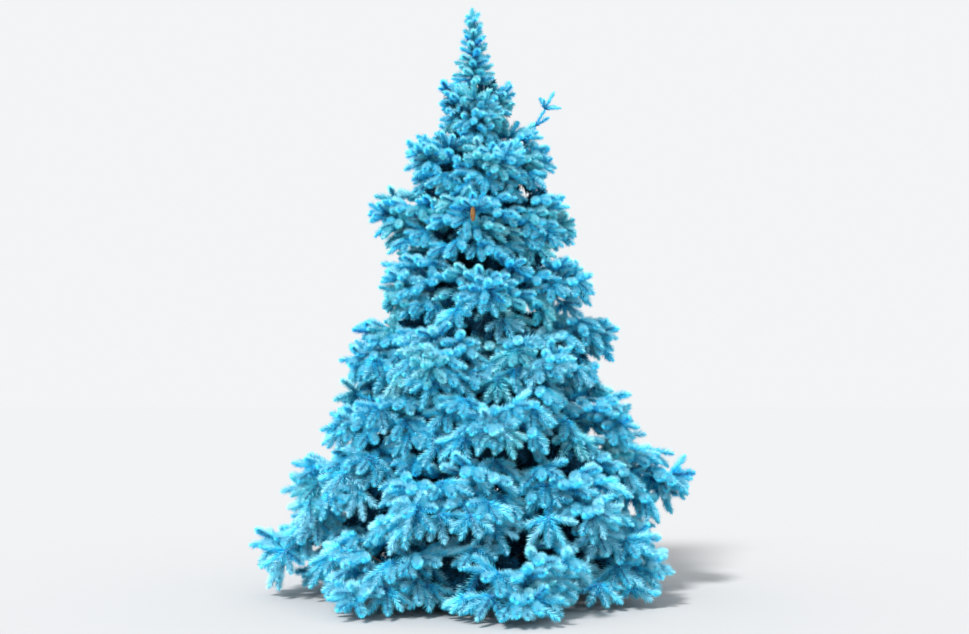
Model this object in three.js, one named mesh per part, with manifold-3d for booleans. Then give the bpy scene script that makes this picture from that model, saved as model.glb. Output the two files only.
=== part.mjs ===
// A blue spruce about four metres tall, grown in the open and leafy down to the ground.
// Millimetres, +Z up. The origin is the middle of the flat cut under the trunk, at ground level.
// A bearing is an angle in degrees from +X, anticlockwise seen from above, so the front is at 270.
import * as THREE from "three";
import Module from "manifold-3d";

const wasm = await Module();
wasm.setup();

// Trunk: one tapering stem with a lobed root flare, a slight bow and a slight lean
const CROWN_TOP = 4000;
const TRUNK_TIP = 3480;
const TRUNK_RADIUS = 54;
const TRUNK_TIP_RADIUS = 10;
const FLARE_GROWTH = 0.75;
const FLARE_HEIGHT = 110;
const ROOT_LOBES = 5;
const ROOT_LOBE_DEPTH = 0.16;
const TRUNK_LEAN = -40;
const TRUNK_BOW = 22;
const TRUNK_SIDES = 15;
const TRUNK_RINGS = [0, 40, 100, 220, 500, 1100, 1800, 2500, 3100, TRUNK_TIP];

// Tiers of boughs from the ground up. A bough leaves the trunk at the height root, its furthest
// needle lies reach from the trunk at the height tip, and it bows up by arch on the way there.
// limb is the share of the reach that is a bough of its own. From the fourth tier up it is 0, and
// the foliage stems grow from the trunk. twigs counts the twigs of each mass, and odd holds the boughs
// that differ from their tier: upturned is the end of a long twig that stands up by the bough's tip, as
// its distance from the trunk and its height, and a cone hangs from one mass.
const TIERS = [
  { count: 7, first: 180, root: 290, tip: 215, arch: 70, reach: 1420, limb: 0.36, twigs: 6,
    odd: { 0: { reach: 1530, tip: 330 }, 2: { reach: 1440, tip: 200 } } },
  { count: 6, first: 257, root: 700, tip: 720, arch: 90, reach: 1330, limb: 0.36, twigs: 6,
    odd: { 2: { bearing: 371, reach: 1530, tip: 720 } } },
  { count: 5, first: 276, root: 1120, tip: 1195, arch: 70, reach: 1080, limb: 0.3, twigs: 6, odd: {} },
  { count: 6, first: 305, root: 1530, tip: 1610, arch: 40, reach: 940, limb: 0, twigs: 5,
    odd: { 1: { reach: 970, tip: 1760 } } },
  { count: 5, first: 278, root: 1930, tip: 2110, arch: 20, reach: 730, limb: 0, twigs: 5,
    odd: { 1: { reach: 790, tip: 2150 } } },
  { count: 4, first: 266, root: 2340, tip: 2560, arch: 10, reach: 640, limb: 0, twigs: 5,
    odd: { 0: { tip: 2700, cone: true }, 3: { reach: 740, tip: 2600 } } },
  { count: 4, first: 290, root: 2740, tip: 3000, arch: 0, reach: 540, limb: 0, twigs: 5,
    odd: { 1: { upturned: [560, 3420] } } },
  { count: 3, first: 270, root: 3120, tip: 3440, arch: 0, reach: 270, limb: 0, twigs: 3, odd: {} },
];
const TIER_TILT = 100; // how far a tier lies lower at the front, and higher at the back
const BEARING_JITTER = 6;
const REACH_JITTER = 0.05;
const ROOT_JITTER = 45;
const TIP_JITTER = 70;

// Boughs and the stems that carry foliage
const BOUGH_THICKNESS = 0.017; // radius at the trunk over the reach
const STEM_TIP_RADIUS = 5;
const TAPER_POWER = 0.7;
const BOUGH_SIDES = 6;
const BOUGH_STEPS = 3;
const STEM_SIDES = 4;
const BARE_STEM = 0.26; // share of the reach that has no tufts where the stem grows from the trunk
const BARE_START = 0.03; // and past the end of a bough
const FULL_SETS = 3; // sets at the tip that have tufts on all sides
const STEM_STEP = 120;

// Twigs aim at places spread over the outer face of their mass, and leave the stem at one angle.
const ROWS = [-0.4, 0.5, -0.85, 0.8]; // heights taken by turns, from -1 at the floor to 1 at the roof
const FIRST_RANK = 0.7; // how far from the middle the first pair of twigs ends, in steps between pairs
const WALL_CLEAR = 0.86; // how far towards its neighbours a mass puts out twigs
const SIDE_CUT = 0.1; // share of the reach that the face falls back by at its sides
const UNDER_CUT = 0.07; // and at its floor
const PLACE_JITTER = [0.1, 0.1]; // across and up
const TWIG_ANGLE = 46;
const TWIG_SIDES = 3;
const FOOT_RADIUS = 4;
const CORE_RADIUS = 12;
const CORE_TAPER = 0.6;
const BARE_FOOT = 0.2; // share of a twig before its first tuft
const TWIG_STEP = 115;
const FEWEST_SETS = 2;
const SHORTENING = [1, 0.85, 0.7, 0.55]; // lengths tried before a twig is skipped

// Tufts of needles, each as long as a shoot, stand on the faces of stems and twigs and lean forwards.
const TUFT_REACH = 250;
const TUFT_TAPER = 0.2;
const TUFT_LEAN = 1.1; // how far a tuft ends ahead of its middle, in steps from set to set
const TUFT_SHARES = [1, 0.9, 0.8, 0.7, 0.6, 0.5, 0.4, 0.3]; // lengths tried before a tuft is skipped
const ELBOW_ROOM = 0.7;

// Where foliage may grow
const GAP = 0.3;
const SPACE_MARGIN = 4;
const GROUND_MARGIN = 12;
const TOP_RISE = 180; // how far the topmost tier may rise
const COVER_MARGIN = 0.15; // share by which the tier above is taken as reaching further, to keep clear of it
const OPEN_RISE = 450; // how far a mass may rise over its bough outside the tier above

// The one cone: its top sunk in the stem, and the stretch of a half wave that gives its outline
const CONE_PLACE = 0.93; // share of the bough's line
const CONE_LENGTH = 95;
const CONE_RADIUS = 18;
const CONE_SUNK = 6;
const CONE_ENDS = [0.15, 0.88];
const CONE_SIDES = 6;
const CONE_STEPS = 3;

// Leader: the shoot that ends the trunk
const LEADER_RADIUS = 9;
const LEADER_FOOT = 0.05;
const LEADER_TWIGS = 5;
const LEADER_LAST = 0.7; // share of the leader where the last twig would stand
const LEADER_TWIG_LENGTH = 140;
const LEADER_TWIG_SPREAD = 36;
const LEADER_SPREAD = 130;
const LEADER_TUFT = 75;
const GOLDEN_ANGLE = 137.5;

const BARK = new THREE.MeshStandardMaterial({ color: 0x5b4a3f, roughness: 0.95, metalness: 0 });
const NEEDLES = new THREE.MeshStandardMaterial({ color: 0x62bfe8, roughness: 0.7, metalness: 0 });

const UP = new THREE.Vector3(0, 0, 1);
const NEAR_UPRIGHT = 0.95; // cosine of the angle from upright
const TANGENT_STEP = 0.01;
const radians = THREE.MathUtils.degToRad;
const mix = THREE.MathUtils.lerp;

// Seeded numbers from 0 to 1 that come out the same on every machine
function seeded(seed) {
  let state = seed;
  return () => {
    state = (state * 1664525 + 1013904223) % 4294967296;
    return state / 4294967296;
  };
}

function outward(bearing) {
  return new THREE.Vector3(Math.cos(radians(bearing)), Math.sin(radians(bearing)), 0);
}

// Two directions square to an axis and to each other, the first as near to upright as it can be
function crossways(axis) {
  const reference = Math.abs(axis.z) > NEAR_UPRIGHT ? new THREE.Vector3(0, -1, 0) : UP;
  const across = reference.clone().cross(axis).normalize();
  return { up: axis.clone().cross(across), across };
}

function ring(centre, axis, radius, sides, turn) {
  const { up, across } = crossways(axis);
  return Array.from({ length: sides }, (_, k) => {
    const angle = (2 * Math.PI * k) / sides + turn;
    const spoke = across.clone().multiplyScalar(Math.cos(angle)).addScaledVector(up, Math.sin(angle));
    return centre.clone().addScaledVector(spoke, radius);
  });
}

function toSolid(points, triangles) {
  const mesh = new wasm.Mesh({
    numProp: 3,
    vertProperties: new Float32Array(points.flatMap((p) => [p.x, p.y, p.z])),
    triVerts: new Uint32Array(triangles),
  });
  return new wasm.Manifold(mesh);
}

// A closed skin over rings of points, with a flat cap on each end
function skin(rings) {
  const sides = rings[0].length;
  const triangles = [];
  for (let i = 0; i + 1 < rings.length; i++) {
    for (let k = 0; k < sides; k++) {
      const [a, b] = [sides * i + k, sides * i + ((k + 1) % sides)];
      triangles.push(a, b, b + sides, a, b + sides, a + sides);
    }
  }
  const last = sides * (rings.length - 1);
  for (let k = 1; k + 1 < sides; k++) {
    triangles.push(0, k + 1, k, last, last + k, last + k + 1);
  }
  return toSolid(rings.flat(), triangles);
}

function tangent(line, share) {
  return line(share + TANGENT_STEP).sub(line(share - TANGENT_STEP)).normalize();
}

// The rings of a limb along a line, which is a function of the share from 0 to 1, at shares of it
function limbRings(line, shares, radius, sides) {
  const turn = Math.PI / sides;
  return shares.map((share) => ring(line(share), tangent(line, share), radius(share), sides, turn));
}

// A tapering limb along a stretch of a line
function limb(line, from, to, radius, sides, steps) {
  const shares = Array.from({ length: steps + 1 }, (_, i) => mix(from, to, i / steps));
  return skin(limbRings(line, shares, radius, sides));
}

function trunkAxis(z) {
  const share = z / CROWN_TOP;
  const x = TRUNK_BOW * Math.sin(Math.PI * share) + TRUNK_LEAN * share * share;
  return new THREE.Vector3(x, 0, z);
}

function trunkRadius(z, angle = 0) {
  const flare = FLARE_GROWTH * Math.exp(-z / FLARE_HEIGHT);
  const lobe = 1 + ROOT_LOBE_DEPTH * Math.cos(ROOT_LOBES * angle);
  return mix(TRUNK_RADIUS, TRUNK_TIP_RADIUS, z / TRUNK_TIP) * (1 + flare * lobe);
}

function trunkSolid(extra = 0) {
  return skin(
    TRUNK_RINGS.map((z) =>
      Array.from({ length: TRUNK_SIDES }, (_, k) => {
        const angle = (2 * Math.PI * k) / TRUNK_SIDES;
        const spoke = new THREE.Vector3(Math.cos(angle), Math.sin(angle), 0);
        return trunkAxis(z).addScaledVector(spoke, trunkRadius(z, angle) + extra);
      }),
    ),
  );
}

// The height of a line that bows up by an arch, from its root at share 0 to its tip at share 1
function archHeight({ root, tip }, arch, share) {
  return mix(root, tip, share) + 4 * arch * share * (1 - share);
}

// The middle height of a tier's boughs over a place on the ground
function tierHeight(tier, place) {
  const distance = Math.hypot(place.x, place.y);
  return archHeight(tier, tier.arch, Math.min(distance / tier.reach, 1)) + (TIER_TILT * place.y) / distance;
}

// The heights half way from a tier to the ones under and over it, over a place on the ground
function bandOf(level, place) {
  const [below, tier, above] = [TIERS[level - 1], TIERS[level], TIERS[level + 1]];
  const height = tierHeight(tier, place);
  return {
    floor: below ? (height + tierHeight(below, place)) / 2 : GROUND_MARGIN,
    roof: above ? (height + tierHeight(above, place)) / 2 : height + TOP_RISE,
  };
}

// One bough of a tier, with its own bearing and reach, and its line from the trunk's axis to its tip
function boughOf(level, index) {
  const tier = TIERS[level];
  const random = seeded(1000 * (level + 1) + 37 * index);
  const vary = (amount) => amount * (2 * random() - 1);
  const middle = tier.first + (360 * index) / tier.count;
  const bough = {
    name: `${level + 1}_${index + 1}`,
    level,
    tier,
    middle,
    vary,
    bearing: middle + vary(BEARING_JITTER),
    reach: tier.reach * (1 + vary(REACH_JITTER)),
    root: tier.root + vary(ROOT_JITTER),
    tip: tier.tip + vary(TIP_JITTER),
    ...tier.odd[index],
  };
  const way = outward(bough.bearing);
  bough.line = (share) => {
    const height = archHeight(bough, tier.arch, share) + TIER_TILT * way.y;
    return trunkAxis(height).addScaledVector(way, bough.reach * share);
  };
  bough.radius = (share) => mix(BOUGH_THICKNESS * bough.reach, STEM_TIP_RADIUS, share ** TAPER_POWER);
  return bough;
}

// A mass keeps between the planes half way to its neighbours and in its tier's band of heights, which is
// open at the top outside the tier above.
function spaceOf({ tier, level, middle, reach }) {
  const half = 180 / tier.count;
  const walls = [outward(middle + half + 90), outward(middle - half - 90)];
  const coverReach = (TIERS[level + 1]?.reach ?? 0) * (1 + COVER_MARGIN);
  return (point) => {
    const distance = Math.hypot(point.x, point.y);
    const { floor, roof } = bandOf(level, point);
    const ceiling = distance < coverReach ? roof : tierHeight(tier, point) + OPEN_RISE;
    const trunkClear = point.distanceTo(trunkAxis(point.z)) - trunkRadius(point.z);
    return (
      walls.every((wall) => point.dot(wall) < -SPACE_MARGIN) &&
      point.z > floor + SPACE_MARGIN &&
      point.z < ceiling - SPACE_MARGIN &&
      trunkClear > SPACE_MARGIN &&
      distance < reach + SPACE_MARGIN
    );
  };
}

// A place on a mass's outer face: across goes from wall to wall and rise from floor to roof, each -1 to 1
function placeOn(bough, across, rise) {
  const { tier, level, middle, reach, line } = bough;
  const nextReach = TIERS[level + 1]?.reach ?? 0;
  const fallBack = rise > 0 ? (rise * (reach - nextReach)) / 2 : -rise * UNDER_CUT * reach;
  const distance = reach * (1 - SIDE_CUT * across * across) - fallBack;
  const place = outward(middle + (across * WALL_CLEAR * 180) / tier.count).multiplyScalar(distance);
  const { floor, roof } = bandOf(level, place);
  return place.setZ(mix(line(distance / reach).z, rise > 0 ? roof : floor, Math.abs(rise)));
}

// The share of a bough's line where a twig that ends at a place leaves it at the twigs' own angle
function twigRoot({ line, bearing, reach, tier }, place) {
  const ahead = place.dot(outward(bearing)) / reach;
  const aside = place.distanceTo(line(ahead)) / reach;
  const first = Math.max(tier.limb + BARE_START, BARE_STEM);
  return THREE.MathUtils.clamp(ahead - aside / Math.tan(radians(TWIG_ANGLE)), first, 1);
}

// The distance of a point from a stretch of twig
function fromStretch(point, { root, tip }) {
  return new THREE.Line3(root, tip).closestPointToPoint(point, true, new THREE.Vector3()).distanceTo(point);
}

// A closed core over rings of points that is drawn out to a tip. tuftOf gives the end of the tuft on a
// face, counted by set and side, where there is one, and a tuft has four faces.
function tuftedSolid(rings, tip, tuftOf) {
  const sides = rings[0].length;
  const points = rings.flat();
  const triangles = [];
  for (let k = 1; k + 1 < sides; k++) {
    triangles.push(0, k + 1, k);
  }
  for (let j = 0; j + 1 < rings.length; j++) {
    for (let k = 0; k < sides; k++) {
      const [a, b] = [sides * j + k, sides * j + ((k + 1) % sides)];
      const [d, c] = [a + sides, b + sides];
      const end = tuftOf(j, k);
      if (end) {
        const apex = points.push(end) - 1;
        triangles.push(a, b, apex, b, c, apex, c, d, apex, d, a, apex);
      } else {
        triangles.push(a, b, c, a, c, d);
      }
    }
  }
  const last = sides * (rings.length - 1);
  const point = points.push(tip) - 1;
  for (let k = 0; k < sides; k++) {
    triangles.push(last + k, last + ((k + 1) % sides), point);
  }
  return toSolid(points, triangles);
}

// The end of the tuft on the face between four points of a core. It reaches out from the axis and leans
// forwards, as far as it stays in the space and nearer to its own core than to the others.
function tuftEnd(face, axis, reach, own, others, inSpace) {
  const middle = face.reduce((sum, point) => sum.add(point), new THREE.Vector3()).divideScalar(face.length);
  const forwards = axis.clone().multiplyScalar(TUFT_LEAN * face[0].distanceTo(face[3]));
  const out = face[1].clone().sub(face[0]).cross(axis).normalize();
  const way = forwards.addScaledVector(out, reach);
  const near = (point, stretches) => Math.min(...stretches.map((stretch) => fromStretch(point, stretch)));
  return TUFT_SHARES.map((share) => middle.clone().addScaledVector(way, share)).find(
    (end) => inSpace(end) && near(end, others) > ELBOW_ROOM * near(end, own),
  );
}

// A core with its tufts, where hasTuft picks the faces that carry one by set and side
function coreSolid({ line, shares, radius, sides, tuftReach, hasTuft, stretches }, others, inSpace) {
  const rings = limbRings(line, shares, radius, sides);
  return tuftedSolid(rings, line(1), (j, k) => {
    if (!hasTuft(j, k)) return undefined;
    const next = (k + 1) % sides;
    const face = [rings[j][k], rings[j][next], rings[j + 1][next], rings[j + 1][k]];
    const reach = tuftReach * (1 - TUFT_TAPER * shares[j]);
    return tuftEnd(face, tangent(line, shares[j]), reach, stretches, others, inSpace);
  });
}

// Evenly spread shares for the rings of a core: from, then the sets of tufts, with the tip left over
function ringShares(from, firstTuft, length, step, fewest) {
  const sets = Math.max(fewest, Math.round((length * (1 - firstTuft)) / step - 1));
  return [from, ...Array.from({ length: sets + 1 }, (_, j) => mix(firstTuft, 1, j / (sets + 1)))];
}

function twigCore(root, tip, tuftReach) {
  const line = (share) => root.clone().lerp(tip, share);
  const radius = (share) => (share ? CORE_RADIUS * (1 - CORE_TAPER * share) : FOOT_RADIUS);
  return {
    line,
    shares: ringShares(0, BARE_FOOT, root.distanceTo(tip), TWIG_STEP, FEWEST_SETS),
    radius,
    sides: TWIG_SIDES,
    tuftReach,
    hasTuft: (set) => set > 0,
    stretches: [{ root, tip }],
  };
}

// A stem has tufts on top and underneath, and on all its sides near the tip.
function stemCore(line, from, firstTuft, length, radius, tuftReach) {
  const shares = ringShares(from, firstTuft, length, STEM_STEP, FEWEST_SETS);
  const half = mix(from, 1, 0.5);
  return {
    line,
    shares,
    radius,
    sides: STEM_SIDES,
    tuftReach,
    hasTuft: (set, side) => set > 0 && (side % 2 === 0 || set > shares.length - 1 - FULL_SETS),
    stretches: [
      { root: line(from), tip: line(half) },
      { root: line(half), tip: line(1) },
    ],
  };
}

// Cores joined into one solid, where each keeps its tufts clear of the others
function joined(cores, inSpace) {
  const solids = cores.map((core) => {
    const others = cores.filter((other) => other !== core).flatMap((other) => other.stretches);
    return coreSolid(core, others, inSpace);
  });
  return solids.reduce((whole, solid) => whole.add(solid));
}

// The cone that hangs from a place on a stem
function coneSolid(top) {
  const line = (share) => top.clone().addScaledVector(UP, CONE_SUNK - share * CONE_LENGTH);
  const radius = (share) => CONE_RADIUS * Math.sin(Math.PI * mix(...CONE_ENDS, share));
  return limb(line, 0, 1, radius, CONE_SIDES, CONE_STEPS);
}

// The foliage of one bough: a stem that carries on its line to the tip, and twigs to both sides of it
function massSolid(bough) {
  const { tier, line, reach, vary, upturned, cone } = bough;
  const inSpace = spaceOf(bough);
  const from = tier.limb ? tier.limb + GAP / reach : 0;
  const firstTuft = Math.max(tier.limb + BARE_START, BARE_STEM);
  const cores = [stemCore(line, from, firstTuft, reach, bough.radius, TUFT_REACH)];
  const addTwig = (place) => {
    const root = line(twigRoot(bough, place));
    const tip = SHORTENING.map((share) => root.clone().lerp(place, share)).find(inSpace);
    if (tip) cores.push(twigCore(root, tip, TUFT_REACH));
  };
  for (let i = 0; i < tier.twigs; i++) {
    const rank = Math.floor(i / 2);
    const side = i % 2 ? 1 : -1;
    const across = (side * (rank + FIRST_RANK)) / Math.ceil(tier.twigs / 2) + vary(PLACE_JITTER[0]);
    addTwig(placeOn(bough, across, ROWS[(i + rank) % ROWS.length] + vary(PLACE_JITTER[1])));
  }
  if (upturned) addTwig(outward(bough.bearing).multiplyScalar(upturned[0]).setZ(upturned[1]));
  const mass = joined(cores, inSpace);
  return cone ? mass.add(coneSolid(line(CONE_PLACE))) : mass;
}

// The leader: a stem on the trunk's tip with short twigs wound round it
function leaderSolid() {
  const line = (share) => trunkAxis(mix(TRUNK_TIP + GAP, CROWN_TOP, share));
  const radius = (share) => mix(LEADER_RADIUS, STEM_TIP_RADIUS, share);
  const cores = [stemCore(line, 0, LEADER_FOOT, CROWN_TOP - TRUNK_TIP, radius, LEADER_TUFT)];
  const spread = radians(LEADER_TWIG_SPREAD);
  for (let i = 0; i < LEADER_TWIGS; i++) {
    const root = line(mix(LEADER_FOOT, LEADER_LAST, i / LEADER_TWIGS));
    const aim = outward(GOLDEN_ANGLE * i).multiplyScalar(Math.sin(spread)).setZ(Math.cos(spread));
    cores.push(twigCore(root, root.clone().addScaledVector(aim, LEADER_TWIG_LENGTH), LEADER_TUFT));
  }
  const slim = (point) => point.distanceTo(trunkAxis(point.z)) < LEADER_SPREAD;
  return joined(cores, slim);
}

function meshOf(name, solid, material) {
  const { vertProperties, triVerts } = solid.getMesh();
  const geometry = new THREE.BufferGeometry()
    .setAttribute("position", new THREE.BufferAttribute(vertProperties, 3))
    .setIndex(new THREE.BufferAttribute(triVerts, 1));
  geometry.computeVertexNormals();
  const mesh = new THREE.Mesh(geometry, material);
  mesh.name = name;
  return mesh;
}

const tree = new THREE.Group();
const roundTrunk = trunkSolid(GAP);
tree.add(meshOf("trunk", trunkSolid(), BARK));
TIERS.forEach((tier, level) => {
  for (let index = 0; index < tier.count; index++) {
    const bough = boughOf(level, index);
    if (tier.limb) {
      const solid = limb(bough.line, 0, tier.limb, bough.radius, BOUGH_SIDES, BOUGH_STEPS);
      tree.add(meshOf(`bough_${bough.name}`, solid.subtract(roundTrunk), BARK));
    }
    tree.add(meshOf(`foliage_${bough.name}`, massSolid(bough).subtract(roundTrunk), NEEDLES));
  }
});
tree.add(meshOf("leader", leaderSolid(), NEEDLES));

export default tree;
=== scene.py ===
import math
from collections import namedtuple

import bpy
import numpy as np
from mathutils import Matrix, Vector, noise


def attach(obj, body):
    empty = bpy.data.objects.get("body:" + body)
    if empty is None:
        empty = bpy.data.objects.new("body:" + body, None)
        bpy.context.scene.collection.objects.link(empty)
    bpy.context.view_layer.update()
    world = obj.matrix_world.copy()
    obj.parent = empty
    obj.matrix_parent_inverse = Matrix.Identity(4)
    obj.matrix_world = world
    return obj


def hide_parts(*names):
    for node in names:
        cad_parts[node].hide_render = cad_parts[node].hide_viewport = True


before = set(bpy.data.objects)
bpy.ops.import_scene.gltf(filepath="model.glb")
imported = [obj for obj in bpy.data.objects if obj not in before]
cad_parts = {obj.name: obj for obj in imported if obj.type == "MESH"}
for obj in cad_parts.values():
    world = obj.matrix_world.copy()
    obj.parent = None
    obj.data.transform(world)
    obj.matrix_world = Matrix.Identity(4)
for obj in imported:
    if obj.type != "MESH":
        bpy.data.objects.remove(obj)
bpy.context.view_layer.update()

METRES = 0.001
UP = np.array([0.0, 0.0, 1.0])
FRONT = np.array([0.0, -1.0, 0.0])
TINY = 1e-6
NEAR_UPRIGHT = 0.95  # cosine of the angle from upright
# Seeded draws, as in the solids
DRAW_FACTOR = 1664525
DRAW_STEP = 1013904223
DRAW_SPAN = 4294967296

# Trunk, as in the solids
CROWN_TOP = 4000
TRUNK_TIP = 3480
TRUNK_RADIUS = 54
TRUNK_TIP_RADIUS = 10
FLARE_GROWTH = 0.75
FLARE_HEIGHT = 110
ROOT_LOBES = 5
ROOT_LOBE_DEPTH = 0.16
TRUNK_LEAN = -40
TRUNK_BOW = 22

# Tiers of boughs from the ground up, as in the solids
TIERS = [
    dict(count=7, first=180, root=290, tip=215, arch=70, reach=1420, limb=0.36, twigs=6,
         odd={0: dict(reach=1530, tip=330), 2: dict(reach=1440, tip=200)}),
    dict(count=6, first=257, root=700, tip=720, arch=90, reach=1330, limb=0.36, twigs=6,
         odd={2: dict(bearing=371, reach=1530, tip=720)}),
    dict(count=5, first=276, root=1120, tip=1195, arch=70, reach=1080, limb=0.3, twigs=6, odd={}),
    dict(count=6, first=305, root=1530, tip=1610, arch=40, reach=940, limb=0, twigs=5,
         odd={1: dict(reach=970, tip=1760)}),
    dict(count=5, first=278, root=1930, tip=2110, arch=20, reach=730, limb=0, twigs=5,
         odd={1: dict(reach=790, tip=2150)}),
    dict(count=4, first=266, root=2340, tip=2560, arch=10, reach=640, limb=0, twigs=5,
         odd={0: dict(tip=2700, cone=True), 3: dict(reach=740, tip=2600)}),
    dict(count=4, first=290, root=2740, tip=3000, arch=0, reach=540, limb=0, twigs=5,
         odd={1: dict(upturned=(560, 3420))}),
    dict(count=3, first=270, root=3120, tip=3440, arch=0, reach=270, limb=0, twigs=3, odd={}),
]
BOUGH_SEEDS = (1000, 37)  # steps from tier to tier and from bough to bough
TIER_TILT = 100
BEARING_JITTER = 6
REACH_JITTER = 0.05
ROOT_JITTER = 45
TIP_JITTER = 70
BOUGH_THICKNESS = 0.017
STEM_TIP_RADIUS = 5
TAPER_POWER = 0.7
BARE_STEM = 0.26
BARE_START = 0.03

# Twigs aim at places on the outer face of their mass, as in the solids
ROWS = [-0.4, 0.5, -0.85, 0.8]
FIRST_RANK = 0.7
WALL_CLEAR = 0.86
SIDE_CUT = 0.1
UNDER_CUT = 0.07
PLACE_JITTER = (0.1, 0.1)
TWIG_ANGLE = 46
GROUND_MARGIN = 12
SPACE_MARGIN = 4
TOP_RISE = 180

# More twigs than the solids have: outer ones spread evenly over the face of a mass, and inner ones behind.
# Of two sizes, the first is for the foot of the crown and the second for its top.
MASS_SEEDS = (5000, 97)  # the first one, and the step from mass to mass
OUTER_TWIGS = [17, 18, 17, 16, 15, 18, 15, 11]  # in each tier, with those of the solids
INNER_TWIGS = [13, 13, 12, 10, 10, 11, 9, 4]
SPREAD_GRID = (15, 9)  # places across and up that twigs choose from
SPREAD_WEIGHTS = (0.6, 1.0)
FACE_EDGE = (1.16, 1.06)  # how far they go past the walls, and past the floor and the roof
FACE_CUT = 0.2  # how far the face falls back at the walls
OUTER_DEPTH = (0.9, 1.0)
INNER_DEPTH = (0.25, 0.8)
INNER_ROOT = 0.5  # where an inner twig leaves the bough, over its own distance from the trunk
INNER_FULLNESS = 0.42
TWIG_ARCH = (0.25, 0.18)
ARCH_SHARES = (0.4, 1.3)
TIP_LIFT = (25, 70)  # how far the tip of a bough turns up
TIP_LIFT_POWER = 6
TWIG_THICKNESS = 0.45  # over that of the bough where it leaves
INNER_RADIUS = 5
TWIG_TIP_RADIUS = 2.5
TWIG_BARE = 0.15
INNER_BARE = 0.1
CURVE_POINTS = 7
STEM_POINTS = 25
TWIG_SIDES = 4

# The thin upturned twig near the top
UPTURNED_CLEAR = 100
UPTURNED_SIZE = 0.68  # of its needles
UPTURNED_LENGTH = 0.9  # of its shoots
UPTURNED_GROWTH = (25, 45)  # out and up, past the place in the solids
UPTURNED_BOW = -0.05
UPTURNED_BARE = 0.2
UPTURNED_RADIUS = 6
UPTURNED_YEARS = 4

# Shoots: a year's growth on a twig, in hands at the tips and in fans to both sides
SHOOT_LENGTH = (180, 138)
SHORTEST_SHOOT = 0.3  # over a whole one
SHORTENING = (1, 0.8, 0.6)  # lengths tried before a shoot is skipped
NEEDLED_YEARS = 4
LEAFY_YEARS = 2
STEM_YEARS = 7
# Rays to both sides of a way: roll round it from straight down, angle to it, share of the length
HAND = [(72, 40, 0.96), (92, 72, 0.9)]
SIDES = [(84, 58, 0.9)]
WHORL = [(30, 58, 0.9), (85, 58, 0.9), (128, 58, 0.9)]
TWIGLETS = [(25, 52, 0.8), (150, 48, 0.6)]
ROLL_JITTER = 14
TILT_JITTER = 32
ANGLE_JITTER = 9
LENGTH_JITTER = 0.14
SAG = 0.06
SHOOT_CLEAR = 60  # how far over the ground a shoot ends
SHOOT_RADII = (14.0, 9.0)  # of the wood in it, at its foot and near its tip
SHOOT_SIDES = 3
SHOOT_WOOD = 0.95

# Needles by the age of their shoot
NEEDLE_SEED = 20
NEEDLE_COUNTS = {1: 168, 2: 102, 3: 74, 4: 50}
FEWEST_NEEDLES = 8
NEEDLE_LENGTH = 54
NEEDLE_LENGTHS = (0.94, 1.06)
NEEDLE_WIDTH = 13
NEEDLE_ANGLES = (50, 22)  # along the shoot and at its end
NEEDLE_ANGLE_NOISE = 3.5
CLOSING_FROM = 0.78  # share of the shoot where its end begins
CLOSING_LENGTH = 0.6  # of the last needles, over the others
CLOSING_POWER = 2.5  # how late in the end the needles lean in
NEEDLE_CROWDING = 0.85
NEEDLE_TWIST = 0.3
SPIRAL_START = 40
INNER_NEEDLE = (1.4, 1.8)  # how much longer and wider the needles of inner shoots are
GOLDEN_ANGLE = 137.5
MOST_TRIANGLES = 190000

# The cone that hangs from one mass, as in the solids
CONE_PLACE = 0.93
CONE_LENGTH = 95
CONE_RADIUS = 18
CONE_SUNK = 6
CONE_ENDS = (0.15, 0.88)
CONE_CLEAR = 45  # how far to each side shoots keep clear of the view of it from the front
# Its scales round a slimmer core
CONE_CORE = 0.7
CORE_SIDES = 12
CONE_SCALES = 90
SCALE_SPAN = (0.02, 0.98)  # shares of the cone's length where the first and the last one sit
SCALE_SIZE = (17, 15)
SCALE_SLIMMEST = 0.4
SCALE_EDGES = 4  # round its ridge
# Corners of a scale: out over the cone's radius, and down over the scale's length
SCALE_ROOT = (0.56, -0.3)
SCALE_FLANK = (0.84, 0.15)
SCALE_TIP = (1.04, 0.6)
SCALE_RIDGE = (0.98, 0.25)

# Leader, as in the solids
LEADER_SEED = 4242
LEADER_REACH = 220
LEADER_RADIUS = 9
LEADER_TIP_ROOM = 12
LEADER_WOOD = 0.97
# Shares of the leader that its own shoots cover, from the tip down
LEADER_STRETCHES = [(0.74, 1.0), (0.48, 0.76), (0.22, 0.5), (0.0, 0.24)]
LEADER_TONE = 0.5
LEADER_LAST = 0.86
LEADER_SHOOTS = 48
LEADER_CROWDING = 1.3
LEADER_SHOOT_LENGTH = (165, 58)  # at its foot and at its top
LEADER_SHOOT_POWER = 0.6
LEADER_LEANS = (86, 34)

# Relief of the bark on the trunk, in long plates and coarse swellings, and on the boughs
TRUNK_SIDES = 48
TRUNK_FOOT = 300
TRUNK_RINGS = (40, 220)  # on the foot and over it
PLATE_SIZE = 26
PLATE_SQUASH = 0.55
PLATE_EDGE = 0.35
PLATE_DEPTH = 0.035
PLATE_MIDDLE = 0.6
SWELLING_SIZE = 60
SWELLING_DEPTH = 0.03
LIMB_POINTS = 40
LIMB_SIDES = 16
LIMB_RELIEF = 0.14
RELIEF_SIZE = 18

# Colours from pale to deep, for bluer and for greener sprays: the deeper ones for older shoots and for
# painted shade, the deepest only for painted shade
BLUE_TINTS = ["a4eeff", "78ebff", "4adefe", "20bcf0", "0a70aa"]
TEAL_TINTS = ["aaeef8", "84e9f5", "56d9ea", "28acd0", "0d668a"]
# Painted shade: the needles of the shoots inside the crown are darker and duller than the others
INNER_SHADE_TINT = "0b5878"  # of the shoots inside the crown
SHADE = len(BLUE_TINTS) - 1
INNER_SHADE_SLOT = len(BLUE_TINTS) + len(TEAL_TINTS)
DEEPEST_OUTER = 3
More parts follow.
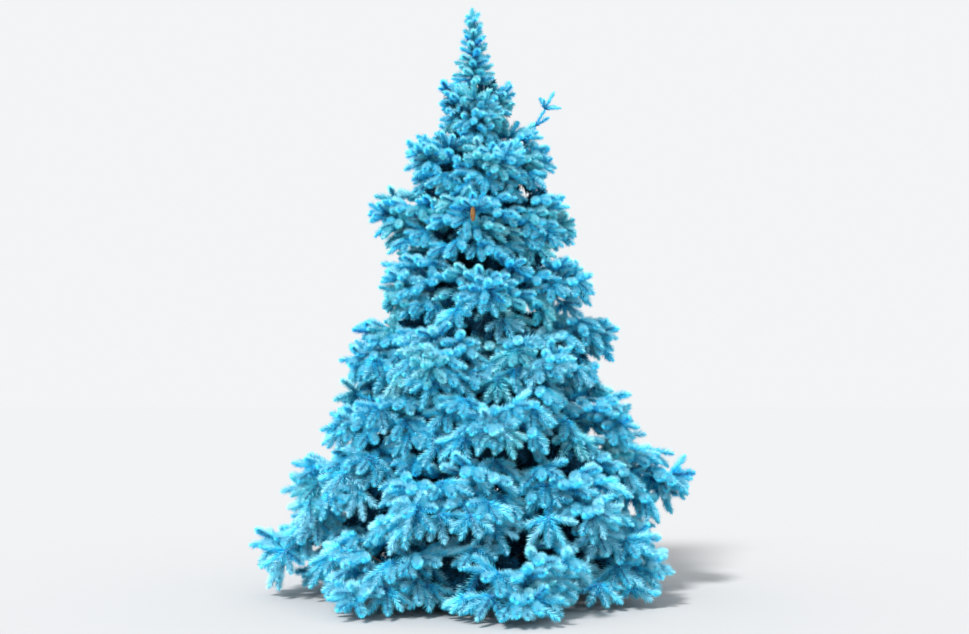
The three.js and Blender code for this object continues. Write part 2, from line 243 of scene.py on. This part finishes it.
# What makes the tint of a shoot deeper
TINT_START = -0.1
TINT_BY_YEAR = 0.5
TINT_BY_TONE = 0.8
TINT_BY_HEIGHT = 0.4
TINT_BY_CHANCE = 0.5
TINT_SPREAD = 1.25
# What makes a needle deeper than its shoot: painted shade at the foot of the shoot and on its underside,
# with its top paler as painted light, and chance
SHADED_FEET = (0.14, 0.4)
UNDERSIDE_SHADE = 1.1
TINT_NOISE = 0.12
# The share of greener hands at the ground, and how much it grows to the top
TEAL_SHARES = (0.03, 0.6)
TEAL_POWER = 2
TEAL_DRAW = 7  # turns a hand's tone into another draw

# Surfaces: barks as a dark and a pale colour and the number of cells to a metre
NEEDLE_SURFACE = {
    "Roughness": 0.7,
    "Specular IOR Level": 0.12,
    "Sheen Weight": 0.12,
    "Sheen Roughness": 0.5,
    "Sheen Tint": (0.6, 0.9, 1.0, 1),
}
TRUNK_BARK = ("3a2c24", "77665a", 38)
TWIG_BARK = ("3a2f28", "6b594a", 90)
# The wood in the shoots is blue: painted shade of the needle mass round it
SHOOT_CORE_SHADE = ("3384b4", "58a6cf", 90)
CONE_BARK = ("54331a", "c08c50", 60)
BARK_ROUGHNESS = 0.9
BARK_STOPS = (0.3, 0.7)
BARK_DETAIL = 6
BARK_GRAIN = 2  # how much finer the grain is than the cells
BUMP_STRENGTH = 0.6
BUMP_DISTANCE = 0.004

# Floor, light and camera, in metres
FLOOR_HALF = 40
FLOOR_SURFACE = {"Roughness": 0.9, "Base Color": (0.488, 0.49, 0.494, 1), "Specular IOR Level": 0}
SKY_COLOUR = (0.97, 0.985, 1.0, 1)
SKY_STRENGTH = 0.92
KEY_ENERGY = 3.9
KEY_ANGLE = 10
KEY_TURN = (42, 0, -32)
IMAGE_WIDTH = 969
FOCAL_PIXELS = 1545
SENSOR_WIDTH = 36
CAMERA_PLACE = (0.044, -10.5, 1.6)
CAMERA_PITCH = 1.54


def mix(a, b, share):
    return a + (b - a) * share


def unit(vector):
    return vector / np.linalg.norm(vector)


def rows_unit(vectors):
    return vectors / np.linalg.norm(vectors, axis=-1, keepdims=True)


# A size for a tier, between the one at the foot of the crown and the one at its top
def by_level(sizes, level):
    return mix(*sizes, level / (len(TIERS) - 1))


# Seeded numbers from 0 to 1, the same ones as in the solids
def seeded(seed):
    state = seed

    def draw():
        nonlocal state
        state = (state * DRAW_FACTOR + DRAW_STEP) % DRAW_SPAN
        return state / DRAW_SPAN

    return draw


def outward(bearing):
    return np.array([math.cos(math.radians(bearing)), math.sin(math.radians(bearing)), 0.0])


def trunk_axis(z):
    share = z / CROWN_TOP
    return np.array([TRUNK_BOW * math.sin(math.pi * share) + TRUNK_LEAN * share * share, 0.0, z])


def trunk_radius(z, angle):
    flare = FLARE_GROWTH * math.exp(-z / FLARE_HEIGHT)
    lobe = 1 + ROOT_LOBE_DEPTH * math.cos(ROOT_LOBES * angle)
    return mix(TRUNK_RADIUS, TRUNK_TIP_RADIUS, z / TRUNK_TIP) * (1 + flare * lobe)


def arch_height(root, tip, arch, share):
    return mix(root, tip, share) + 4 * arch * share * (1 - share)


def tier_height(tier, place):
    distance = math.hypot(place[0], place[1])
    share = min(distance / tier["reach"], 1)
    return arch_height(tier["root"], tier["tip"], tier["arch"], share) + TIER_TILT * place[1] / distance


# The heights half way from a tier to the ones under and over it, over a place on the ground
def band_of(level, place):
    height = tier_height(TIERS[level], place)
    floor = GROUND_MARGIN
    roof = height + TOP_RISE
    if level > 0:
        floor = (height + tier_height(TIERS[level - 1], place)) / 2
    if level + 1 < len(TIERS):
        roof = (height + tier_height(TIERS[level + 1], place)) / 2
    return floor, roof


class Bough:
    """One bough of a tier, with its own bearing and reach, and its line from the trunk's axis to its tip"""

    def __init__(self, level, index):
        self.level = level
        self.tier = TIERS[level]
        self.name = f"{level + 1}_{index + 1}"
        self.random = seeded(BOUGH_SEEDS[0] * (level + 1) + BOUGH_SEEDS[1] * index)
        self.middle = self.tier["first"] + 360 * index / self.tier["count"]
        self.bearing = self.middle + self.vary(BEARING_JITTER)
        self.reach = self.tier["reach"] * (1 + self.vary(REACH_JITTER))
        self.root = self.tier["root"] + self.vary(ROOT_JITTER)
        self.tip = self.tier["tip"] + self.vary(TIP_JITTER)
        self.upturned = None
        self.cone = False
        for key, value in self.tier["odd"].get(index, {}).items():
            setattr(self, key, value)
        self.way = outward(self.bearing)

    def vary(self, amount):
        return amount * (2 * self.random() - 1)

    def line(self, share):
        height = arch_height(self.root, self.tip, self.tier["arch"], share) + TIER_TILT * self.way[1]
        return trunk_axis(height) + self.way * self.reach * share

    def radius(self, share):
        return mix(BOUGH_THICKNESS * self.reach, STEM_TIP_RADIUS, share**TAPER_POWER)

    # A place on the outer face: across goes from wall to wall and rise from floor to roof, each -1 to 1
    def place_on(self, across, rise, side_cut=SIDE_CUT):
        next_reach = TIERS[self.level + 1]["reach"] if self.level + 1 < len(TIERS) else 0
        fall_back = rise * (self.reach - next_reach) / 2 if rise > 0 else -rise * UNDER_CUT * self.reach
        distance = self.reach * (1 - side_cut * across * across) - fall_back
        place = outward(self.middle + across * WALL_CLEAR * 180 / self.tier["count"]) * distance
        floor, roof = band_of(self.level, place)
        place[2] = mix(self.line(distance / self.reach)[2], roof if rise > 0 else floor, abs(rise))
        return place

    # The share of the line where a twig that ends at a place leaves it at the twigs' own angle
    def twig_root(self, place):
        ahead = place @ self.way / self.reach
        aside = np.linalg.norm(place - self.line(ahead)) / self.reach
        share = ahead - aside / math.tan(math.radians(TWIG_ANGLE))
        return min(max(share, self.first_tuft()), 1)

    def first_tuft(self):
        return max(self.tier["limb"] + BARE_START, BARE_STEM)

    # The places that the twigs of the solids aim at, in the same order of draws
    def places(self):
        pairs = math.ceil(self.tier["twigs"] / 2)
        for i in range(self.tier["twigs"]):
            rank = i // 2
            side = 1 if i % 2 else -1
            across = side * (rank + FIRST_RANK) / pairs + self.vary(PLACE_JITTER[0])
            rise = ROWS[(i + rank) % len(ROWS)] + self.vary(PLACE_JITTER[1])
            yield self.place_on(across, rise)


boughs = [Bough(level, index) for level, tier in enumerate(TIERS) for index in range(tier["count"])]
cone_bough = next(bough for bough in boughs if bough.cone)
cone_top = cone_bough.line(CONE_PLACE) + UP * CONE_SUNK


# Whether a shoot would stand before the cone or run through it
def hides_cone(start, end):
    for share in (0.0, 0.5, 1.0):
        aside, ahead, above = mix(start, end, share) - cone_top
        beside = abs(aside) < CONE_CLEAR and ahead < CONE_CLEAR
        if beside and -CONE_LENGTH - CONE_CLEAR < above < -CONE_RADIUS:
            return True
    return False


# A shoot: tone picks the colour of its hand, fullness thins its needles and size scales them
Shoot = namedtuple("Shoot", "start way length age tone fullness size")


class Growth:
    """The shoots and wood of one mass of foliage"""

    def __init__(self, name, level, seed, reach):
        self.name = name
        self.random = seeded(seed)
        self.reach = reach
        self.shoot_length = by_level(SHOOT_LENGTH, level)
        self.size = self.shoot_length / SHOOT_LENGTH[0]
        self.shoots = []
        self.wood = []

    def vary(self, amount):
        return amount * (2 * self.random() - 1)

    def inside(self, point):
        return math.hypot(point[0], point[1]) < self.reach + SPACE_MARGIN and point[2] > SHOOT_CLEAR

    # One shoot, shortened to stay in the mass's reach and off the cone, or none where a short one would not
    def add(self, start, way, length, age, tone, fullness):
        for share in SHORTENING:
            end = start + way * length * share
            if self.inside(end) and not hides_cone(start, end):
                self.shoots.append(Shoot(start, way, length * share, age, tone, fullness, self.size))
                return

    # A way turned from another by an angle, at a roll round it that counts from straight down
    def turned(self, way, roll, angle):
        around = math.radians(roll + self.vary(ROLL_JITTER))
        lean = math.radians(angle + self.vary(ANGLE_JITTER))
        sideways = unit(np.cross(way, UP))
        upwards = np.cross(sideways, way)
        out = sideways * math.sin(around) - upwards * math.cos(around)
        return unit(way * math.cos(lean) + out * math.sin(lean))

    # Shoots of this year from one point, to both sides of a way
    def hand(self, point, way, rays, tone, fullness):
        tilt = self.vary(TILT_JITTER)
        for roll, angle, share in rays:
            for side in (-1, 1):
                length = self.shoot_length * share * (1 + self.vary(LENGTH_JITTER))
                self.add(point, self.turned(way, side * roll + tilt, angle), length, 1, tone, fullness)

    # A leafy twig along a curve: from its tip back, each year's shoot on the twig itself, with a hand at
    # the foot of this year's and a pair at the feet of the older ones
    def twig(self, curve, bare, radii, years=LEAFY_YEARS, fullness=1.0, rays=HAND):
        steps = np.linalg.norm(np.diff(curve, axis=0), axis=1)
        at = np.concatenate([[0], np.cumsum(steps)])

        def point(back):
            return np.array([np.interp(at[-1] - back, at, curve[:, axis]) for axis in range(3)])

        leafy = at[-1] * (1 - bare)
        back = 0.0
        for age in range(1, years + 1):
            step = min(self.shoot_length * (1 + self.vary(LENGTH_JITTER)), leafy - back)
            if step < SHORTEST_SHOOT * self.shoot_length:
                break
            start, end = point(back + step), point(back)
            way = unit(end - start)
            tone = self.random()
            self.add(start, way, np.linalg.norm(end - start), age, tone, fullness)
            self.hand(start, way, rays if age == 1 else SIDES, tone, fullness)
            back += step
        wood = np.array([point(rest) for rest in np.linspace(at[-1], back, CURVE_POINTS)])
        self.wood.append((wood, np.linspace(*radii, CURVE_POINTS)))


# A curve from a root to a tip that bows up between them
def bowed(root, tip, bow):
    shares = np.linspace(0, 1, CURVE_POINTS)[:, None]
    lift = bow * np.linalg.norm(tip - root)
    return root + (tip - root) * shares + UP * lift * 4 * shares * (1 - shares)


# A place moved towards the middle of the crown at its own height
def drawn_in(place, share):
    return place * [share, share, 1]


# Places spread over the face of a mass, each one as far as it gets from those that are taken
def spread_places(bough, count, taken, random):
    steps = [
        (2 * (i + random()) / SPREAD_GRID[0] - 1, 2 * (j + random()) / SPREAD_GRID[1] - 1)
        for i in range(SPREAD_GRID[0]) for j in range(SPREAD_GRID[1])
    ]
    choices = np.array([
        bough.place_on(FACE_EDGE[0] * across, FACE_EDGE[1] * rise, FACE_CUT) for across, rise in steps
    ])
    weights = np.array([mix(*SPREAD_WEIGHTS, random()) for _ in steps])
    chosen = []
    for _ in range(count):
        gaps = np.linalg.norm(choices[:, None] - np.array(taken), axis=2).min(axis=1)
        chosen.append(choices[(weights * gaps).argmax()])
        taken.append(chosen[-1])
    return chosen


# The stem of a mass: the bough's line past its bare part, turned up at the tip
def grow_stem(bough, growth):
    start = bough.tier["limb"]
    lift = by_level(TIP_LIFT, bough.level)
    shares = np.linspace(start, 1, STEM_POINTS)
    stem = np.array([bough.line(share) + UP * lift * share**TIP_LIFT_POWER for share in shares])
    bare = (bough.first_tuft() - start) / (1 - start)
    growth.twig(stem, bare, (bough.radius(start), TWIG_TIP_RADIUS), STEM_YEARS, rays=WHORL)


def grow_upturned(bough, growth):
    out, up = np.add(bough.upturned, UPTURNED_GROWTH)
    place = outward(bough.bearing) * out + UP * up
    curve = bowed(bough.line(bough.twig_root(place)), place, UPTURNED_BOW)
    growth.size *= UPTURNED_SIZE
    growth.shoot_length *= UPTURNED_LENGTH
    growth.twig(curve, UPTURNED_BARE, (UPTURNED_RADIUS, TWIG_TIP_RADIUS), UPTURNED_YEARS, rays=TWIGLETS)


# A mass of foliage on a bough, whose outer twigs keep apart from the places that are taken and add to them
def grow_mass(bough, number, taken):
    reach = max(bough.reach, bough.upturned[0] + UPTURNED_CLEAR) if bough.upturned else bough.reach
    growth = Growth(f"foliage_{bough.name}", bough.level, MASS_SEEDS[0] + MASS_SEEDS[1] * number, reach)
    arch = by_level(TWIG_ARCH, bough.level)
    grow_stem(bough, growth)
    places = list(bough.places())
    taken += [bough.line(1), *places]
    places += spread_places(bough, OUTER_TWIGS[bough.level] - len(places), taken, growth.random)
    for place in places:
        tip = drawn_in(place, mix(*OUTER_DEPTH, growth.random()))
        share = bough.twig_root(tip)
        radii = (TWIG_THICKNESS * bough.radius(share), TWIG_TIP_RADIUS)
        bow = arch * mix(*ARCH_SHARES, growth.random())
        growth.twig(bowed(bough.line(share), tip, bow), TWIG_BARE, radii)
    radii = (INNER_RADIUS, TWIG_TIP_RADIUS)
    for place in spread_places(bough, INNER_TWIGS[bough.level], [*taken], growth.random):
        tip = drawn_in(place, mix(*INNER_DEPTH, growth.random()))
        root = bough.line(INNER_ROOT * np.linalg.norm(tip[:2]) / bough.reach)
        growth.twig(bowed(root, tip, arch), INNER_BARE, radii, fullness=INNER_FULLNESS)
    if bough.upturned:
        grow_upturned(bough, growth)
    return growth


def grow_leader():
    growth = Growth("leader", len(TIERS) - 1, LEADER_SEED, LEADER_REACH)

    def line(share):
        return trunk_axis(mix(TRUNK_TIP, CROWN_TOP - LEADER_TIP_ROOM, share))

    stem = np.array([line(share) for share in np.linspace(0, LEADER_WOOD, CURVE_POINTS)])
    growth.wood.append((stem, np.linspace(LEADER_RADIUS, TWIG_TIP_RADIUS, CURVE_POINTS)))
    for low, high in LEADER_STRETCHES:
        way = line(high) - line(low)
        growth.add(line(low), unit(way), np.linalg.norm(way), 1, LEADER_TONE, 1.0)
    for i in range(LEADER_SHOOTS):
        share = (i / LEADER_SHOOTS) ** LEADER_CROWDING
        lean = math.radians(mix(*LEADER_LEANS, share) + growth.vary(ANGLE_JITTER))
        way = outward(GOLDEN_ANGLE * i) * math.sin(lean) + UP * math.cos(lean)
        length = mix(*LEADER_SHOOT_LENGTH, share**LEADER_SHOOT_POWER) * (1 + growth.vary(LENGTH_JITTER))
        growth.add(line(LEADER_LAST * share), way, length, 1, growth.random(), 1.0)
    return growth


def linear(hex_colour):
    channels = [int(hex_colour[i:i + 2], 16) / 255 for i in (0, 2, 4)]
    return [c / 12.92 if c < 0.04045 else ((c + 0.055) / 1.055) ** 2.4 for c in channels]


def principled(name, settings):
    material = bpy.data.materials.new(name)
    material.use_nodes = True
    shader = material.node_tree.nodes["Principled BSDF"]
    for socket, value in settings.items():
        shader.inputs[socket].default_value = value
    return material, shader


def needle_material(name, colour):
    material, _ = principled(name, {**NEEDLE_SURFACE, "Base Color": (*linear(colour), 1)})
    return material


# Bark: two colours from noise, with a bump in the cracks between cells
def bark_material(name, dark, pale, scale):
    material, shader = principled(name, {"Roughness": BARK_ROUGHNESS})
    nodes, links = material.node_tree.nodes, material.node_tree.links
    place = nodes.new("ShaderNodeTexCoord")
    cells = nodes.new("ShaderNodeTexVoronoi")
    cells.inputs["Scale"].default_value = scale
    cells.feature = "DISTANCE_TO_EDGE"
    grain = nodes.new("ShaderNodeTexNoise")
    grain.inputs["Scale"].default_value = scale * BARK_GRAIN
    grain.inputs["Detail"].default_value = BARK_DETAIL
    ramp = nodes.new("ShaderNodeValToRGB")
    for stop, colour, position in zip(ramp.color_ramp.elements, (dark, pale), BARK_STOPS):
        stop.color = (*linear(colour), 1)
        stop.position = position
    bump = nodes.new("ShaderNodeBump")
    bump.inputs["Strength"].default_value = BUMP_STRENGTH
    bump.inputs["Distance"].default_value = BUMP_DISTANCE
    links.new(place.outputs["Object"], cells.inputs["Vector"])
    links.new(place.outputs["Object"], grain.inputs["Vector"])
    links.new(grain.outputs["Fac"], ramp.inputs["Fac"])
    links.new(ramp.outputs["Color"], shader.inputs["Base Color"])
    links.new(cells.outputs["Distance"], bump.inputs["Height"])
    links.new(bump.outputs["Normal"], shader.inputs["Normal"])
    return material


# A mesh object from points in millimetres, faces that all have the same number of corners, and face slots
def mesh_object(name, points, faces, materials, slots=None):
    mesh = bpy.data.meshes.new(name)
    corners = faces.shape[1]
    mesh.vertices.add(len(points))
    mesh.vertices.foreach_set("co", (points * METRES).astype(np.float32).ravel())
    mesh.loops.add(faces.size)
    mesh.loops.foreach_set("vertex_index", faces.astype(np.int32).ravel())
    mesh.polygons.add(len(faces))
    mesh.polygons.foreach_set("loop_start", np.arange(0, faces.size, corners, dtype=np.int32))
    mesh.polygons.foreach_set("use_smooth", np.full(len(faces), slots is None))
    for material in materials:
        mesh.materials.append(material)
    if slots is not None:
        mesh.polygons.foreach_set("material_index", slots.astype(np.int32))
    mesh.update(calc_edges=True)
    mesh.validate()
    piece = bpy.data.objects.new(name, mesh)
    bpy.context.scene.collection.objects.link(piece)
    return piece


# How many needles a shoot has
def needle_count(shoot):
    share = shoot.fullness * shoot.length / SHOOT_LENGTH[0]
    return max(FEWEST_NEEDLES, round(NEEDLE_COUNTS[min(shoot.age, NEEDLED_YEARS)] * share))


# The needles of some shoots, wound round them and swept forwards: points, triangles and their tints, with
# painted light and shade
def needles_of(shoots, random):
    starts, ways, lengths, ages, tones, fullness, sizes = map(np.array, zip(*shoots))
    counts = np.array([needle_count(shoot) for shoot in shoots])
    owner = np.repeat(np.arange(len(shoots)), counts)
    rank = np.arange(len(owner)) - np.repeat(np.cumsum(counts) - counts, counts)
    share = ((rank + random.random(len(owner))) / counts[owner]) ** NEEDLE_CROWDING
    along = share[:, None]
    roots = starts[owner] + lengths[owner][:, None] * (ways[owner] * along - UP * SAG * along**2)
    axis = rows_unit(ways[owner] - 2 * SAG * along * UP)
    sideways = rows_unit(np.cross(ways, UP) + TINY)
    upwards = np.cross(sideways, ways)
    spiral = np.radians(GOLDEN_ANGLE) * rank + SPIRAL_START * tones[owner]
    radial = upwards[owner] * np.cos(spiral)[:, None] + sideways[owner] * np.sin(spiral)[:, None]
    closing = np.clip((share - CLOSING_FROM) / (1 - CLOSING_FROM), 0, 1)
    spread = mix(*NEEDLE_ANGLES, closing**CLOSING_POWER)
    spread += NEEDLE_ANGLE_NOISE * random.standard_normal(len(owner))
    angle = np.radians(spread)[:, None]
    needle = rows_unit(axis * np.cos(angle) + radial * np.sin(angle))
    inner = fullness[owner] < 1
    length = NEEDLE_LENGTH * mix(*NEEDLE_LENGTHS, random.random(len(owner)))
    length *= mix(1, CLOSING_LENGTH, closing)
    length *= np.where(inner, INNER_NEEDLE[0], 1) * sizes[owner]
    half = NEEDLE_WIDTH / 2 * np.where(inner, INNER_NEEDLE[1], 1) * np.sqrt(sizes[owner])
    across = rows_unit(np.cross(axis, radial))
    twist = NEEDLE_TWIST * random.standard_normal(len(owner))[:, None]
    flat = across * np.cos(twist) + np.cross(needle, across) * np.sin(twist)
    flat *= half[:, None]
    points = np.stack([roots - flat, roots + flat, roots + needle * length[:, None]], axis=1).reshape(-1, 3)
    faces = np.arange(len(points)).reshape(-1, 3)
    # Painted light and shade: needles on top of a shoot get paler tints, those underneath and at its foot
    # deeper ones
    tint = tint_of(ages, tones, starts[:, 2], random)[owner] - UNDERSIDE_SHADE * radial[:, 2]
    for foot in SHADED_FEET:
        tint += share < foot
    tint += TINT_NOISE * random.standard_normal(len(owner))
    tint = np.clip(np.round(tint), 0, SHADE).astype(int)
    tint += len(BLUE_TINTS) * teal_of(tones, starts[:, 2])[owner]
    # The needles of inner shoots take the painted shade tint
    return points, faces, np.where(inner, INNER_SHADE_SLOT, tint)


# How deep the tint of each shoot is: paler on this year's growth and lower in the crown
def tint_of(ages, tones, heights, random):
    depth = TINT_START + TINT_BY_YEAR * (ages - 1) + TINT_BY_TONE * tones
    depth += TINT_BY_HEIGHT * heights / CROWN_TOP + TINT_BY_CHANCE * random.random(len(ages))
    return np.clip(np.round(depth * TINT_SPREAD), 0, DEEPEST_OUTER)


# Which shoots are of the greener sprays: whole hands, more of them higher up
def teal_of(tones, heights):
    share = TEAL_SHARES[0] + TEAL_SHARES[1] * (heights / CROWN_TOP) ** TEAL_POWER
    return ((TEAL_DRAW * tones) % 1 < share).astype(int)


# The triangles of a closed tube of rings, whose points are numbered ring by ring with its two ends last
def tube_faces(steps, sides):
    index = np.arange(steps * sides).reshape(steps, sides)
    after = np.roll(index, -1, axis=1)
    walls = [
        np.stack([index[:-1], after[:-1], after[1:]], axis=-1),
        np.stack([index[:-1], after[1:], index[1:]], axis=-1),
    ]
    foot = np.full(sides, steps * sides)
    ends = [
        np.stack([foot, after[0], index[0]], axis=-1),
        np.stack([foot + 1, index[-1], after[-1]], axis=-1),
    ]
    return np.concatenate([part.reshape(-1, 3) for part in walls + ends])


# Closed tubes round curves that all have the same number of points, with a relief that roughens them
def tubes(curves, radii, sides, relief=0.0):
    count, steps = radii.shape
    tangents = rows_unit(np.gradient(curves, axis=1))
    reference = np.where(np.abs(tangents[:, :1, 2:]) < NEAR_UPRIGHT, UP, FRONT)
    sideways = rows_unit(np.cross(reference, tangents))[:, :, None]
    upwards = np.cross(tangents, sideways[:, :, 0])[:, :, None]
    angles = np.linspace(0, 2 * math.pi, sides, endpoint=False)[:, None]
    around = sideways * np.cos(angles) + upwards * np.sin(angles)
    thickness = np.repeat(radii[:, :, None, None], sides, axis=2)
    if relief:
        spots = (curves[:, :, None] + thickness * around).reshape(-1, 3) / RELIEF_SIZE
        rough = np.array([noise.noise(Vector(spot)) for spot in spots])
        thickness *= 1 + relief * rough.reshape(thickness.shape)
    rings = curves[:, :, None] + thickness * around
    points = np.concatenate([rings.reshape(count, -1, 3), curves[:, [0, -1]]], axis=1)
    offsets = points.shape[1] * np.arange(count)[:, None, None]
    return points.reshape(-1, 3), (tube_faces(steps, sides) + offsets).reshape(-1, 3)


def bark_radius(z, angle):
    radius = trunk_radius(z, angle)
    spot = Vector((math.cos(angle) * radius, math.sin(angle) * radius, z * PLATE_SQUASH))
    nearest, second = noise.voronoi(spot / PLATE_SIZE)[0][:2]
    plate = min(second - nearest, PLATE_EDGE) / PLATE_EDGE
    swelling = noise.noise(spot / SWELLING_SIZE)
    return radius * (1 + PLATE_DEPTH * (plate - PLATE_MIDDLE) + SWELLING_DEPTH * swelling)


def cone_radius(share):
    return CONE_RADIUS * np.sin(math.pi * mix(*CONE_ENDS, share))


# The root, the two flanks, the tip and the ridge of a scale of the cone
def scale_points(share, out):
    radius = cone_radius(share)
    middle = cone_top - UP * CONE_LENGTH * share
    sideways = np.cross(UP, out) * SCALE_SIZE[1] / 2 * mix(SCALE_SLIMMEST, 1, radius / CONE_RADIUS)

    def corner(place):
        return middle + out * radius * place[0] - UP * SCALE_SIZE[0] * place[1]

    flank = corner(SCALE_FLANK)
    return [corner(SCALE_ROOT), flank - sideways, corner(SCALE_TIP), flank + sideways, corner(SCALE_RIDGE)]


taken = []
growths = [grow_mass(bough, number, taken) for number, bough in enumerate(boughs)]
growths.append(grow_leader())

# Needles, in pieces of whole masses
needle_materials = [
    needle_material(f"needles_{family}_{depth}", colour)
    for family, tints in (("blue", BLUE_TINTS), ("teal", TEAL_TINTS)) for depth, colour in enumerate(tints)
]
needle_materials.append(needle_material("needles_inner_shade", INNER_SHADE_TINT))
batches = [[]]
held = 0
for growth in growths:
    triangles = sum(needle_count(shoot) for shoot in growth.shoots)
    if held + triangles > MOST_TRIANGLES:
        batches.append([])
        held = 0
    batches[-1].append(growth)
    held += triangles
random = np.random.default_rng(NEEDLE_SEED)
for number, batch in enumerate(batches, start=1):
    points, faces, tints = needles_of([shoot for growth in batch for shoot in growth.shoots], random)
    needles = mesh_object(f"needles_{number}", points, faces, needle_materials, tints)
    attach(needles, "root")
    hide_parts(*[growth.name for growth in batch])

# Twigs: the wood of the masses
curves = np.array([curve for growth in growths for curve, _ in growth.wood])
radii = np.array([radii for growth in growths for _, radii in growth.wood])
points, faces = tubes(curves, radii, TWIG_SIDES)
twigs = mesh_object("twigs", points, faces, [bark_material("twig_bark", *TWIG_BARK)])
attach(twigs, "root")

# The wood in each shoot, coloured blue as painted shade of the needles round it
shoots = [shoot for growth in growths for shoot in growth.shoots]
starts = np.array([shoot.start for shoot in shoots])[:, None]
stretches = np.array([shoot.way * shoot.length for shoot in shoots])[:, None]
lengths = np.array([shoot.length for shoot in shoots])[:, None, None]
sizes = np.array([shoot.size for shoot in shoots])[:, None]
shares = np.array([0, SHOOT_WOOD])[:, None]
curves = starts + stretches * shares - UP * SAG * lengths * shares**2
points, faces = tubes(curves, sizes * SHOOT_RADII, SHOOT_SIDES)
shoot_twigs = mesh_object("shoot_twigs", points, faces, [bark_material("shoot_core_shade", *SHOOT_CORE_SHADE)])
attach(shoot_twigs, "root")

# Trunk with the relief of its bark
bark = bark_material("bark", *TRUNK_BARK)
heights = np.concatenate([
    np.linspace(0, TRUNK_FOOT, TRUNK_RINGS[0], endpoint=False),
    np.linspace(TRUNK_FOOT, TRUNK_TIP, TRUNK_RINGS[1]),
])
bearings = np.linspace(0, 360, TRUNK_SIDES, endpoint=False)
points = [
    trunk_axis(z) + outward(bearing) * bark_radius(z, math.radians(bearing))
    for z in heights for bearing in bearings
]
points += [trunk_axis(heights[0]), trunk_axis(heights[-1])]
trunk = mesh_object("trunk_bark", np.array(points), tube_faces(len(heights), TRUNK_SIDES), [bark])
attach(trunk, "root")
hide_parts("trunk")

# Boughs with the relief of their bark
limbs = [bough for bough in boughs if bough.tier["limb"]]
shares = [np.linspace(0, bough.tier["limb"], LIMB_POINTS) for bough in limbs]
curves = np.array([[bough.line(share) for share in row] for bough, row in zip(limbs, shares)])
radii = np.array([[bough.radius(share) for share in row] for bough, row in zip(limbs, shares)])
points, faces = tubes(curves, radii, LIMB_SIDES, LIMB_RELIEF)
limb_piece = mesh_object("bough_bark", points, faces, [bark])
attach(limb_piece, "root")
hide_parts(*[f"bough_{bough.name}" for bough in limbs])

# The cone: a core, and scales wound round it whose tips point down
shares = np.linspace(0, 1, CURVE_POINTS)
core_curve = cone_top - UP * CONE_LENGTH * shares[:, None]
core_points, core_faces = tubes(core_curve[None], CONE_CORE * cone_radius(shares)[None], CORE_SIDES)
points = [*core_points]
for i, share in enumerate(np.linspace(*SCALE_SPAN, CONE_SCALES)):
    points += scale_points(share, outward(GOLDEN_ANGLE * i))
first = len(core_points) + (SCALE_EDGES + 1) * np.arange(CONE_SCALES)[:, None]
scale_faces = [first + [k, (k + 1) % SCALE_EDGES, SCALE_EDGES] for k in range(SCALE_EDGES)]
faces = np.concatenate([core_faces, *scale_faces])
cone = mesh_object("cone", np.array(points), faces, [bark_material("cone_scales", *CONE_BARK)])
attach(cone, "root")

# Floor
floor_corners = [(x * FLOOR_HALF, y * FLOOR_HALF, 0) for x, y in ((-1, -1), (1, -1), (1, 1), (-1, 1))]
floor_mesh = bpy.data.meshes.new("floor")
floor_mesh.from_pydata(floor_corners, [], [(0, 1, 2, 3)])
floor_mesh.materials.append(principled("floor", FLOOR_SURFACE)[0])
floor = bpy.data.objects.new("floor", floor_mesh)
bpy.context.scene.collection.objects.link(floor)

# Light
world = bpy.data.worlds.new("studio")
bpy.context.scene.world = world
world.use_nodes = True
world.node_tree.nodes["Background"].inputs["Color"].default_value = SKY_COLOUR
world.node_tree.nodes["Background"].inputs["Strength"].default_value = SKY_STRENGTH
key = bpy.data.lights.new("key", "SUN")
key.energy = KEY_ENERGY
key.angle = math.radians(KEY_ANGLE)
key_object = bpy.data.objects.new("key", key)
key_object.rotation_euler = [math.radians(turn) for turn in KEY_TURN]
bpy.context.scene.collection.objects.link(key_object)

# Camera
camera_data = bpy.data.cameras.new("camera")
camera_data.sensor_width = SENSOR_WIDTH
camera_data.lens = SENSOR_WIDTH * FOCAL_PIXELS / IMAGE_WIDTH
camera = bpy.data.objects.new("camera", camera_data)
camera.location = CAMERA_PLACE
camera.rotation_euler = (math.radians(90 + CAMERA_PITCH), 0, 0)
bpy.context.scene.collection.objects.link(camera)
bpy.context.scene.camera = camera
bpy.context.scene.view_settings.view_transform = "Standard"
